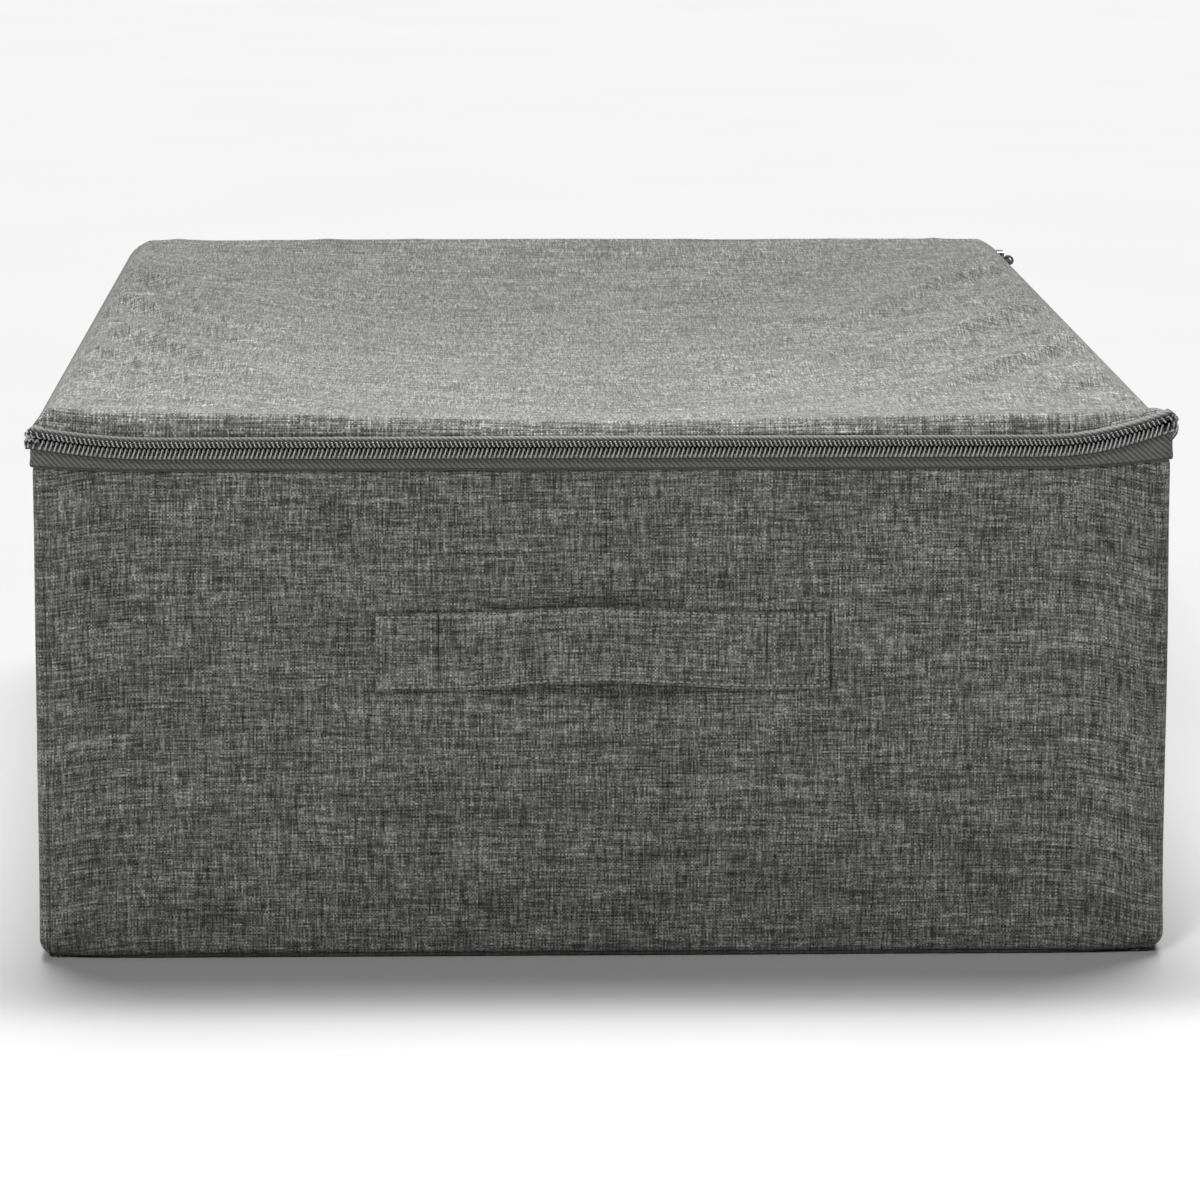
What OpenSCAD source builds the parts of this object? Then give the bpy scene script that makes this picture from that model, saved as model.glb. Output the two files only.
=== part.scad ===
// Soft-sided box for storing things under a bed: four board-stiffened fabric walls, a loose
// stiff base, a soft lid hinged along the rear wall, a coil zip round the other three sides
// and a sewn strap handle on the front. Front faces -Y, origin at the centre of the underside.

/* [Box] */
// Width across the front, outside to outside
box_width = 400; // [320:5:520]
// Length from the front wall to the rear wall, outside to outside
box_length = 700; // [500:5:900]
// Height of the zip's centre line above the floor
zip_height = 182; // [150:1:220]
// Outside radius of the upright corners
corner_radius = 4; // [3.5:0.5:5]

/* [Wall layers] */
// Thickness of the outer fabric with its backing
cover = 0.8; // [0.6:0.1:1]
// Thickness of the stiffening board in each wall
board = 2.4; // [1.8:0.1:2.6]
// Thickness of the lining
lining = 0.6; // [0.4:0.1:0.8]

/* [Bottom] */
// Height of the bound seam that the box stands on
welt_height = 1.8; // [1.6:0.1:2.4]
// Thickness of the loose board that stiffens the base
base_thickness = 3; // [2:0.5:4]

/* [Lid] */
// Height of the lid's crest above the zip line
lid_rise = 9; // [9:0.5:14]
// How far the lid's middle hangs below its crest
lid_sag = 22; // [6:1:26]
// How far the lid's turned edge stands out from the walls
lid_overhang = 1.6; // [1.6:0.1:2]

/* [Zip] */
// Thickness of the woven tape
tape = 0.7; // [0.5:0.1:0.8]
// Width of tape below the lower coil
tape_margin = 3.8; // [3:0.1:4.5]
// Height of one row of coil
coil_row = 2.7; // [2.4:0.1:3]
// How far the coil stands out from the tape
coil_depth = 2.2; // [1.8:0.1:2.4]
// Length of the slider
slider_length = 12; // [9:1:14]
// Length of the slider's pull
pull_length = 30; // [20:1:40]

/* [Handle] */
// Length of the strap from one sewn end to the other
handle_length = 160; // [120:5:200]
// Height of the strap
handle_height = 28; // [20:1:40]
// Height of the strap's middle above the floor
handle_level = 110.5; // [80:1:120]
// Thickness of the folded and stitched strap
strap = 1.8; // [1.2:0.1:2.4]
// Length of each sewn end
sewn_end = 22; // [15:1:30]
// How far the loose middle stands off the wall
handle_bow = 9; // [7:0.5:12]

/* [Hidden] */

half_w = box_width / 2;
half_l = box_length / 2;
flat_w = half_w - corner_radius;
flat_l = half_l - corner_radius;
wall = cover + board + lining;
play = 0.2;

// Levels of the walls
hem_top = zip_height - 4.8;
wall_top = hem_top - cover;
board_gap = 0.6;
board_lift = 1.4;
board_corner = 25;
hem_depth = 12;
welt_inset = 1;
floor_inset = 5;
base_inset = 5.4;
base_level = cover + lining + 0.1;

// Zip rows: each lies just below or above a gap that the slider's divider runs in
zip_gap = 1;
lower_row_top = zip_height - zip_gap / 2;
lower_row_base = lower_row_top - coil_row;
upper_row_base = zip_height + zip_gap / 2;
upper_row_top = upper_row_base + coil_row;
tape_base = lower_row_base - tape_margin;
zip_end = half_l - 10;
hinge_start = half_l - 9;
stop_size = 3;
tape_face = half_w + tape;
coil_face = tape_face + coil_depth;

// Slider, parked at the rear of the right side
slider_end = half_l - 22;
slider_start = slider_end - slider_length;
slider_plate = 1.2;
flange = 1;
flange_level = zip_gap / 2 + coil_row + play;
slider_half = flange_level + flange;
slot = 0.25;
plate_face = coil_face + play;
bar_radius = 0.8;
bar_x = plate_face + slider_plate + 2.6;
bar_span = 7;
eye_radius = 2.2;
pull_thickness = 1.2;
pull_width = 7;
slider_middle = (slider_start + slider_end) / 2;

// Lid
lid_x = half_w + lid_overhang;
lid_y = half_l + lid_overhang;
lid_cloth = 0.8;
lid_base = zip_height + 4.8;
turn = 3.6;
turn_level = zip_height + lid_rise - turn;
band_top = turn_level;
lid_corner = corner_radius + lid_overhang;
lid_flat_middle = 0.94;
dish_steps = 6;
lining_gap = 0.1;
lid_lining_thickness = 0.5;

// Handle
loose_half = handle_length / 2 - sewn_end;
strap_base = handle_level - handle_height / 2;
bow_steps = 12;

fabric_grey = [0.36, 0.36, 0.35];
lid_grey = [0.55, 0.55, 0.53];
lining_grey = [0.72, 0.72, 0.7];
board_brown = [0.66, 0.58, 0.46];
tape_grey = [0.34, 0.34, 0.32];
coil_grey = [0.26, 0.26, 0.27];
metal_grey = [0.3, 0.3, 0.32];

// Rectangle with round corners, given by its half sizes
module rounded_rect(x, y, r) {
    square([2 * (x - r), 2 * y], center = true);
    square([2 * x, 2 * (y - r)], center = true);
    for (sx = [-1, 1], sy = [-1, 1])
        translate([sx * (x - r), sy * (y - r)]) circle(r, $fn = 32);
}

// The walls' outline in plan, grown by a distance that may be negative
module outline(grow) {
    rounded_rect(half_w + grow, half_l + grow, max(corner_radius + grow, 0.4));
}

// Upright band that follows the walls' outline, between two growths and two levels
module band(inner, outer, z0, z1) {
    translate([0, 0, z0]) linear_extrude(z1 - z0) difference() {
        outline(outer);
        outline(inner);
    }
}

module flat_sheet(grow, z0, thickness) {
    translate([0, 0, z0]) linear_extrude(thickness) outline(grow);
}

// Plate of the front (side -1) or rear (side 1) wall, a depth inside its outer face
module end_layer(side, span, depth, thickness, z0, z1) {
    translate([-span, side > 0 ? half_l - depth - thickness : depth - half_l, z0])
        cube([2 * span, thickness, z1 - z0]);
}

// Plate of the left (side -1) or right (side 1) wall, a depth inside its outer face
module side_layer(side, span, depth, thickness, z0, z1) {
    translate([side > 0 ? half_w - depth - thickness : depth - half_w, -span, z0])
        cube([thickness, 2 * span, z1 - z0]);
}

module end_cover(side) {
    color(fabric_grey) end_layer(side, flat_w, 0, cover, welt_height, wall_top);
}

// The side covers carry the round corners
module side_cover(side) {
    color(fabric_grey) intersection() {
        band(-cover, 0, welt_height, wall_top);
        side_layer(side, half_l, 0, corner_radius, welt_height, wall_top);
    }
}

// Face of a wall's board: its corners are cut round, clear of the cloth tucked in below them
module board_face(half) {
    z0 = welt_height + board_lift;
    z1 = wall_top - board_gap;
    translate([0, (z0 + z1) / 2]) rounded_rect(half, (z1 - z0) / 2, board_corner);
}

module end_board(side) {
    color(board_brown) translate([0, side > 0 ? half_l - cover : cover + board - half_l, 0])
        rotate([90, 0, 0]) linear_extrude(board) board_face(flat_w);
}

module side_board(side) {
    color(board_brown) translate([side > 0 ? half_w - cover - board : cover - half_w, 0, 0])
        rotate([90, 0, 90]) linear_extrude(board) board_face(flat_l);
}

module end_lining(side) {
    color(lining_grey)
        end_layer(side, half_w - wall, wall - lining, lining, welt_height, wall_top);
}

module side_lining(side) {
    color(lining_grey)
        side_layer(side, half_l - wall + lining, wall - lining, lining, welt_height, wall_top);
}

module bottom_cover() { color(fabric_grey) flat_sheet(-floor_inset, 0, cover); }

module bottom_lining() { color(lining_grey) flat_sheet(-floor_inset, cover, lining); }

module bottom_welt() { color(fabric_grey) band(-floor_inset, -welt_inset, 0, welt_height); }

// Fabric turned over the walls' top edges and down inside them
module rim_hem() {
    color(lining_grey) {
        band(-wall - cover, 0, wall_top, hem_top);
        band(-wall - cover, -wall, wall_top - hem_depth, wall_top);
    }
}

// The part of a band that runs along the rear wall and round its corners
module rear_run(z0, z1) {
    intersection() {
        band(0, tape, z0, z1);
        translate([-box_width, hinge_start, z0]) cube([2 * box_width, box_length, z1 - z0]);
    }
}

module hinge_strip() { color(tape_grey) rear_run(tape_base, lower_row_top); }

module lid_rear_band() { color(lid_grey) rear_run(upper_row_base, band_top); }

// Part of a band round the front and both sides, ending at a different point on each side
module zip_run(inner, outer, z0, z1, left_end, right_end) {
    difference() {
        band(inner, outer, z0, z1);
        translate([-box_width, left_end, z0 - 1]) cube([box_width, box_length, z1 - z0 + 2]);
        translate([0, right_end, z0 - 1]) cube([box_width, box_length, z1 - z0 + 2]);
    }
}

module zip_lower_tape() {
    color(tape_grey) zip_run(0, tape, tape_base, lower_row_top, zip_end, zip_end);
}

module zip_upper_tape() {
    color(tape_grey) zip_run(0, tape, upper_row_base, band_top, zip_end, zip_end);
}

module zip_lower_coil() {
    color(coil_grey) zip_run(tape, tape + coil_depth, lower_row_base, lower_row_top,
        zip_end - 6, slider_end + 3);
}

// The upper row stops short of the parked slider, so that the lid lifts away from it
module zip_upper_coil() {
    color(coil_grey) zip_run(tape, tape + coil_depth, upper_row_base, upper_row_top,
        zip_end - 6, slider_start - 1.5);
}

// Moulded stop at the end of a coil row, on the right (side 1) or left (side -1) tape
module row_stop(side, y, z0) {
    color(coil_grey) translate([side > 0 ? tape_face : -coil_face - play, y, z0])
        cube([coil_depth + play, stop_size, coil_row]);
}

module zip_bottom_stop() { row_stop(-1, zip_end - 5.5, lower_row_base); }

module zip_lower_stop() { row_stop(1, slider_end + 3.5, lower_row_base); }

module zip_upper_stop() { row_stop(1, slider_end + 3.5, upper_row_base); }

// Bar of the slider along the zip, between two x and two z positions
module slider_bar(x0, x1, z0, z1) {
    translate([x0, slider_start, z0]) cube([x1 - x0, slider_length, z1 - z0]);
}

// Slider plate with round corners, standing along the zip
module slider_face(x, thickness) {
    translate([x, slider_middle, zip_height]) rotate([90, 0, 90])
        linear_extrude(thickness) rounded_rect(slider_length / 2, slider_half, 1.6);
}

module slider_body() {
    inner_face = half_w - slot;
    color(metal_grey) {
        slider_face(plate_face, slider_plate);
        slider_face(inner_face - slider_plate, slider_plate);
        intersection() {
            slider_face(tape_face + slot, plate_face - tape_face - slot);
            union() {
                slider_bar(half_w, plate_face, zip_height - slider_half, zip_height - flange_level);
                slider_bar(half_w, plate_face, zip_height + flange_level, zip_height + slider_half);
            }
        }
        translate([inner_face, slider_end - 3, zip_height - 0.35])
            cube([plate_face - inner_face, 3, 0.7]);
    }
}

module slider_bridge() {
    color(metal_grey) {
        for (y = [-1, 1])
            translate([plate_face + slider_plate, slider_middle + y * bar_span / 2, zip_height])
                rotate([0, 90, 0]) cylinder(r = bar_radius, h = bar_x - plate_face - slider_plate);
        translate([bar_x, slider_middle - bar_span / 2 - bar_radius, zip_height])
            rotate([-90, 0, 0]) cylinder(r = bar_radius, h = bar_span + 2 * bar_radius);
    }
}

// The pull hangs from the bridge by an eye with running clearance
module pull_tab() {
    eye_length = bar_span - 2 * bar_radius - 0.6;
    color(metal_grey) difference() {
        union() {
            translate([bar_x, slider_middle - eye_length / 2, zip_height])
                rotate([-90, 0, 0]) cylinder(r = eye_radius, h = eye_length);
            translate([bar_x - pull_thickness / 2, slider_middle, zip_height])
                rotate([90, 0, 90]) linear_extrude(pull_thickness) {
                    translate([-eye_length / 2, -9]) square([eye_length, 9]);
                    translate([0, (-pull_length - 5) / 2])
                        rounded_rect(pull_width / 2, (pull_length - 5) / 2, 2);
                }
        }
        translate([bar_x, slider_middle - eye_length, zip_height])
            rotate([-90, 0, 0]) cylinder(r = bar_radius + 0.5, h = 2 * eye_length);
    }
}

// Sewn end of the handle, on the left (side -1) or right (side 1)
module handle_end(side) {
    color(fabric_grey)
        translate([side > 0 ? loose_half : -handle_length / 2, -half_l - strap, strap_base])
            cube([sewn_end, strap, handle_height]);
}

function bow(x, span) = handle_bow * (1 + cos(180 * x / span)) / 2;

// Loose middle of the handle, bowed off the wall
module handle_strap() {
    span = loose_half - play;
    xs = [for (i = [-bow_steps:bow_steps]) span * i / bow_steps];
    color(fabric_grey) translate([0, -half_l - play, strap_base]) linear_extrude(handle_height)
        polygon(concat(
            [for (x = xs) [x, -bow(x, span)]],
            [for (i = [len(xs) - 1:-1:0]) [xs[i], -bow(xs[i], span) - strap + play]]));
}

module base_board() {
    color(board_brown) translate([0, 0, base_level + lining]) linear_extrude(base_thickness)
        square([2 * (half_w - base_inset - lining), 2 * (half_l - base_inset)], center = true);
}

// Fabric sleeve of the base, open at the front and the rear
module base_board_cover() {
    color(lining_grey) difference() {
        translate([0, 0, base_level]) linear_extrude(base_thickness + 2 * lining)
            square([2 * (half_w - base_inset), 2 * (half_l - base_inset)], center = true);
        translate([0, 0, base_level + lining]) linear_extrude(base_thickness)
            square([2 * (half_w - base_inset - lining), box_length], center = true);
    }
}

// Closed ring of the lid's surface at a distance in from its edge: the rings follow the
// rectangle at the edge and close on the centre, with ever rounder corners
function lid_ring(inset, z) =
    let (x = lid_x - inset,
         y = lid_y - inset * (1 + (lid_y / lid_x - 1) * inset / lid_x),
         r = min(lid_corner - min(inset, lid_cloth) + 2.5 * max(inset - lid_cloth, 0), 0.9 * x))
    [for (q = [0:3], a = [0:15:90])
        [(q == 0 || q == 3 ? x - r : r - x) + r * cos(90 * q + a),
         (q < 2 ? y - r : r - y) + r * sin(90 * q + a), z]];

// Level of the lid's top surface at a distance in from the crest, as a share of the dish
function dish_level(t) = turn_level + turn - lid_sag * (1 - (1 - t) * (1 - t));
function dish_inset(t) = turn + (lid_x - turn) * t;

function dish(drop) =
    [for (i = [0:dish_steps]) let (t = lid_flat_middle * i / dish_steps)
        [dish_inset(t), dish_level(t) - drop]];

// Turned edge: straight up from the lid's lower edge, then over a quarter round
function turned_edge(skin) = concat([[skin, lid_base]],
    [for (a = [0:22.5:67.5])
        [skin + (turn - skin) * (1 - cos(a)), turn_level + (turn - skin) * sin(a)]]);

function reversed(list) = [for (i = [len(list) - 1:-1:0]) list[i]];

// Solid bounded by a chain of rings, closed by its first and last ring
module ring_solid(profile) {
    rings = [for (p = profile) lid_ring(p[0], p[1])];
    n = len(rings[0]);
    last = (len(rings) - 1) * n;
    polyhedron(
        points = [for (ring = rings) each ring],
        faces = concat(
            [[for (i = [n - 1:-1:0]) i]],
            [for (k = [0:len(rings) - 2], i = [0:n - 1]) let (j = (i + 1) % n)
                [k * n + i, k * n + j, (k + 1) * n + j, (k + 1) * n + i]],
            [[for (i = [0:n - 1]) last + i]]));
}

module lid_panel() {
    color(lid_grey) ring_solid(concat(
        reversed(concat(turned_edge(0), dish(0))),
        turned_edge(lid_cloth), dish(lid_cloth)));
}

module lid_lining() {
    top = lid_cloth + lining_gap;
    color(lining_grey) ring_solid(concat(
        reversed(dish(top)), dish(top + lid_lining_thickness)));
}

end_cover(-1);  // front_wall_cover
end_cover(1);  // rear_wall_cover
side_cover(-1);  // left_wall_cover
side_cover(1);  // right_wall_cover
end_board(-1);  // front_wall_board
end_board(1);  // rear_wall_board
side_board(-1);  // left_wall_board
side_board(1);  // right_wall_board
end_lining(-1);  // front_wall_lining
end_lining(1);  // rear_wall_lining
side_lining(-1);  // left_wall_lining
side_lining(1);  // right_wall_lining
bottom_cover();
bottom_lining();
bottom_welt();
rim_hem();
hinge_strip();
zip_lower_tape();
zip_lower_coil();
zip_bottom_stop();
zip_lower_stop();
handle_end(-1);  // handle_left_end
handle_end(1);  // handle_right_end
handle_strap();
base_board();
base_board_cover();
lid_panel();
lid_lining();
lid_rear_band();
zip_upper_tape();
zip_upper_coil();
zip_upper_stop();
slider_body();
slider_bridge();
pull_tab();
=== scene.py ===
"""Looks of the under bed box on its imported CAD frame: board-stiffened fabric walls, a soft lid,
a coil zip with its slider, a sewn strap handle and a loose base."""

import math

import bpy
import numpy as np
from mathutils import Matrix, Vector


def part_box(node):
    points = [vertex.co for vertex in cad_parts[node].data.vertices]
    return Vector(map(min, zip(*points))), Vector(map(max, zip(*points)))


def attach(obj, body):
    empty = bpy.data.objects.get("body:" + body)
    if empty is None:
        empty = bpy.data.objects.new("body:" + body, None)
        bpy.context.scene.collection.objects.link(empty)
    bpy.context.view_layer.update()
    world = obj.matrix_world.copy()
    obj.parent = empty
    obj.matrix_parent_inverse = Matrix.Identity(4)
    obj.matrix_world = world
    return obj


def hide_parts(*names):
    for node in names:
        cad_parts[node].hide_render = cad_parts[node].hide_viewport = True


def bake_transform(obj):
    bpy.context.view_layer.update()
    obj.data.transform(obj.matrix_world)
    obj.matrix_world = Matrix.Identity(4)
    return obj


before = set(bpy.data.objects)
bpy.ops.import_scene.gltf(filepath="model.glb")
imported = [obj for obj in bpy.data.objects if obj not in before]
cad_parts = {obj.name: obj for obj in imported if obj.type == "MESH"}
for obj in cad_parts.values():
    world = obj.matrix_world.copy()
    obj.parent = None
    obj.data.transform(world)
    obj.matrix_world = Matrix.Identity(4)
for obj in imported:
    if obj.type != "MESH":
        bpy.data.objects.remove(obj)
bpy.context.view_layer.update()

MM = 0.001
HALF_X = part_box("right_wall_cover")[1].x
HALF_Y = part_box("right_wall_cover")[1].y
CORNER = 4 * MM
CORNER_POINTS = 13
ZIP_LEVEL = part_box("slider_bridge")[0].z + 0.8 * MM
ZIP_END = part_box("zip_lower_tape")[1].y
LID_EDGE = ZIP_LEVEL + 4.6 * MM

# The lid's rim crest: its level in front, its fall towards the rear, its dip in the middle of the
# front, its extra height at each front corner, and its inset from the front edge and from the sides
CREST_LEVEL = ZIP_LEVEL + 11.6 * MM
CREST_FALL = 3.6 * MM
CREST_DIP = 2.6 * MM
CREST_LEFT = 2.6 * MM
CREST_RIGHT = -0.6 * MM
CREST_INSET = 6.5 * MM
SIDE_INSET = 9.0 * MM

# Depth of the lid's dish, and how far in front of the middle it is deepest
LID_SAG = 18 * MM
LOWEST_FORWARD = 60 * MM

COIL_PITCH = 1.6 * MM
COIL_WIRE = 0.33 * MM
COIL_STEPS = 12
HANDLE_LEVEL = (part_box("handle_left_end")[0].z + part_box("handle_left_end")[1].z) / 2
HANDLE_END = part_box("handle_right_end")[1].x
HANDLE_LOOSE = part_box("handle_right_end")[0].x

# The strap: half its thickness, how far its middle layer stands off the wall, half its width, how
# far forward its loose part bows (about half as far as in the CAD), how full it is between its
# edges, and the points across each of its two layers
STRAP_HALF_THICK = 0.85 * MM
STRAP_MIDDLE = 1.1 * MM
STRAP_HALF_WIDE = 14.0 * MM
STRAP_PUSH = 0.5 * (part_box("handle_strap")[0].y + HALF_Y + 1.8 * MM)
STRAP_BULGE = 0.5 * MM
STRAP_ROWS = 33

STITCH_RADIUS = 0.3 * MM

# Lid creases in plan, in millimetres: where each leaves the side, where it fades out, its height
# and its width
LID_CREASES = (
    ((-197, 175), (-140, 40), 3.4, 11),
    ((-198, 65), (-105, -70), 4.6, 11),
    ((-197, -40), (-95, -205), 5.4, 11),
    ((-198, -120), (-125, -235), 4.0, 9),
    ((-198, -175), (-145, -275), 3.2, 8),
    ((197, 200), (95, 55), 4.0, 13),
    ((197, 30), (90, -110), 4.8, 12),
    ((197, -85), (130, -195), 3.6, 9),
    ((197, -120), (100, -265), 4.3, 10),
    ((194, -235), (125, -300), 3.0, 9),
)

# Metres across the noise to where the right side's folds are taken, so that they aren't the left's
OTHER_SIDE = 0.31

# How much the zip rises at each front corner, and how far from the corner that reaches
LEFT_LIFT = 3.9 * MM
RIGHT_LIFT = 8.6 * MM
LIFT_REACH = 42 * MM

# How much of the zip's rise the lower tape's low edge and the wall's top edge follow
TAPE_FOLLOWS = 0.34
RIM_FOLLOWS = 0.36

# Lower and upper edge of the zip's lower tape
TAPE_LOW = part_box("zip_lower_tape")[0].z + 0.7 * MM
TAPE_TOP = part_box("zip_lower_tape")[1].z

# Values along each side of the noise table
TABLE = 97


# ---------------------------------------------------------------- shapes in plan

class Outline:
    """Rounded rectangle in plan, walked anticlockwise from the middle of the rear."""

    def __init__(self, half_x, half_y, radius):
        points = [(0.0, half_y)]
        angles = [90.0]
        middles = []
        for sx, sy, first in ((-1, 1, 90), (-1, -1, 180), (1, -1, 270), (1, 1, 360)):
            middles.append(len(points) + CORNER_POINTS // 2)
            for angle in np.linspace(first, first + 90, CORNER_POINTS):
                turn = math.radians(angle)
                points.append((sx * (half_x - radius) + radius * math.cos(turn),
                               sy * (half_y - radius) + radius * math.sin(turn)))
                angles.append(angle)
        points.append((0.0, half_y))
        angles.append(450.0)
        self.points = np.array(points)
        self.angles = np.radians(angles)
        steps = np.linalg.norm(np.diff(self.points, axis=0), axis=1)
        self.along = np.concatenate([[0.0], np.cumsum(steps)])
        self.length = self.along[-1]
        self.corners = self.along[middles]

    def at(self, s, offset=0.0):
        """Points at distances s along the outline, moved outwards by offset."""
        s = np.mod(s, self.length)
        angle = np.interp(s, self.along, self.angles)
        x = np.interp(s, self.along, self.points[:, 0]) + offset * np.cos(angle)
        y = np.interp(s, self.along, self.points[:, 1]) + offset * np.sin(angle)
        return x, y

    def from_corner(self, s, corner):
        """Distance along the outline from one of its four corners."""
        gap = np.abs(np.mod(s, self.length) - self.corners[corner])
        return np.minimum(gap, self.length - gap)

    def stations(self, start, end, spacing):
        """Distances from start to end, closer together round the corners."""
        even = np.linspace(start, end, max(2, int((end - start) / spacing) + 1))
        close = [c + lap * self.length + np.linspace(-12, 12, 41) * MM
                 for c in self.corners for lap in (0, 1)]
        every = np.sort(np.concatenate([even] + close))
        every = every[(every >= start) & (every <= end)]
        keep = np.concatenate([[True], np.diff(every) > 0.2 * MM])
        return every[keep]


WALLS = Outline(HALF_X, HALF_Y, CORNER)
LEFT_FRONT, RIGHT_FRONT = 1, 2
ZIP_START_S = WALLS.corners[0] + (HALF_Y - ZIP_END)
ZIP_END_S = WALLS.corners[3] - (HALF_Y - ZIP_END)


def smooth(t):
    t = np.clip(t, 0, 1)
    return t * t * (3 - 2 * t)


def lift_near(height, gap):
    """Lift towards a corner that is gap away: the full height there, 0 from LIFT_REACH on."""
    near = np.clip(1 - gap / LIFT_REACH, 0, 1)
    return height * near ** 2 * (1.25 - 0.25 * near)


def lift(s):
    """How much the zip rises at a distance along the outline, towards the two front corners."""
    return (lift_near(LEFT_LIFT, WALLS.from_corner(s, LEFT_FRONT))
            + lift_near(RIGHT_LIFT, WALLS.from_corner(s, RIGHT_FRONT)))


def bumps(x, y, size, seed):
    """Smooth noise between -1 and 1 with bumps about size metres across."""
    lattice = np.random.default_rng(seed).uniform(-1, 1, (TABLE, TABLE))
    x, y = np.broadcast_arrays(np.asarray(x) / size, np.asarray(y) / size)
    i, j = np.floor(x).astype(int), np.floor(y).astype(int)
    fx, fy = smooth(x - i), smooth(y - j)
    i, j, next_i, next_j = i % TABLE, j % TABLE, (i + 1) % TABLE, (j + 1) % TABLE
    low = lattice[i, j] * (1 - fx) + lattice[next_i, j] * fx
    high = lattice[i, next_j] * (1 - fx) + lattice[next_i, next_j] * fx
    return low * (1 - fy) + high * fy


# ---------------------------------------------------------------- meshes

def new_object(name, points, faces, face_uv):
    """Smooth-shaded mesh; face_uv gives the flat cloth's coordinates, corner by corner."""
    mesh = bpy.data.meshes.new(name)
    mesh.from_pydata(points.tolist(), [], faces)
    if face_uv is not None:
        layer = mesh.uv_layers.new(name="cloth")
        layer.data.foreach_set("uv", np.asarray(face_uv, np.float32).ravel())
    mesh.shade_smooth()
    made = bpy.data.objects.new(name, mesh)
    bpy.context.scene.collection.objects.link(made)
    return made


def grid(name, points, uv, closed=False, caps=False):
    """Mesh over a grid of points (rows, columns, 3). Closed joins the last column to the first,
    and then uv has one column more. Caps closes the first and last row of a closed grid."""
    rows, columns = points.shape[:2]
    index = np.arange(rows * columns).reshape(rows, columns)
    if closed:
        index = np.hstack([index, index[:, :1]])
    first, last = slice(None, -1), slice(1, None)
    corners = ((first, first), (first, last), (last, last), (last, first))
    faces = np.stack([index[c] for c in corners], -1).reshape(-1, 4).tolist()
    face_uv = np.stack([uv[c] for c in corners], 2).reshape(-1, 2)
    if caps:
        rings = [index[0, :columns][::-1], index[-1, :columns]]
        rims = [uv[0, :columns][::-1], uv[-1, :columns]]
        faces += [ring.tolist() for ring in rings]
        face_uv = np.concatenate([face_uv] + rims)
    return new_object(name, points.reshape(-1, 3), faces, face_uv)


def thicken(piece, thickness):
    """Gives a single layer of cloth its thickness, behind its outer face."""
    shell = piece.modifiers.new("thickness", "SOLIDIFY")
    shell.thickness = thickness
    shell.offset = -1
    return piece


def run_grid(name, outline, s, offsets, levels):
    """Band of cloth along an outline. Offsets and levels are (rows, 1) or (rows, stations)."""
    offsets, levels, along = np.broadcast_arrays(offsets, levels, s[None, :])
    x, y = outline.at(along, offsets)
    points = np.stack([x, y, levels], -1)
    steps = np.linalg.norm(np.diff(points, axis=0), axis=2)
    height = np.concatenate([np.zeros((1, s.size)), np.cumsum(steps, axis=0)])
    return grid(name, points, np.stack([along, height], -1))


def column(*values):
    """Values in millimetres as a column of metres, one for each row of a run_grid."""
    return np.array(values, float)[:, None] * MM


def tube(name, path, radius, sides):
    """Round strand along a path of points."""
    ahead = np.gradient(path, axis=0)
    ahead /= np.linalg.norm(ahead, axis=1)[:, None]
    up = np.where(np.abs(ahead[:, 2:]) > 0.9, [[1.0, 0.0, 0.0]], [[0.0, 0.0, 1.0]])
    across = np.cross(ahead, up)
    across /= np.linalg.norm(across, axis=1)[:, None]
    other = np.cross(across, ahead)
    turn = np.linspace(0, 2 * np.pi, sides, endpoint=False)
    ring = (across[:, None] * np.cos(turn)[None, :, None]
            + other[:, None] * np.sin(turn)[None, :, None])
    points = path[:, None] + radius * ring
    travel = np.cumsum(np.linalg.norm(np.diff(path, axis=0, prepend=path[:1]), axis=1))
    around = np.linspace(0, 2 * np.pi * radius, sides + 1)
    uv = np.stack(np.meshgrid(travel, around, indexing="ij"), -1)
    return grid(name, points, uv, closed=True, caps=True)


def stitches(name, centres, directions, length):
    """Row of short stitches on a front face, each a bead of thread that sinks in at both ends."""
    rings, sides = 7, 6
    normal = np.array([0.0, -1.0, 0.0])
    along = np.linspace(-1, 1, rings)
    turn = np.linspace(0, 2 * np.pi, sides, endpoint=False)
    width = STITCH_RADIUS * np.sqrt(np.clip(1.02 - along ** 4, 0, 1))
    points, faces = [], []
    for centre, direction in zip(centres, directions):
        side = np.cross(direction, normal)
        base = rings * sides * len(points)
        spine = (centre + np.outer(along * length / 2, direction)
                 + np.outer(STITCH_RADIUS * (0.5 - 1.3 * along ** 2), normal))
        ring = (np.cos(turn)[None, :, None] * side + np.sin(turn)[None, :, None] * normal)
        points.append((spine[:, None] + width[:, None, None] * ring).reshape(-1, 3))
        for first in range(base, base + (rings - 1) * sides, sides):
            for i in range(sides):
                j = (i + 1) % sides
                faces.append([first + i, first + j, first + sides + j, first + sides + i])
    return new_object(name, np.concatenate(points), faces, None)


def place(piece, body, slot, material, *nodes):
    """Paints a piece, and says which body it rides on and which CAD nodes it stands for."""
    piece.data.materials.clear()
    piece.data.materials.append(material)
    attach(piece, body)
    if nodes:
        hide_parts(*nodes)
    return piece


# ---------------------------------------------------------------- materials

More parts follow.
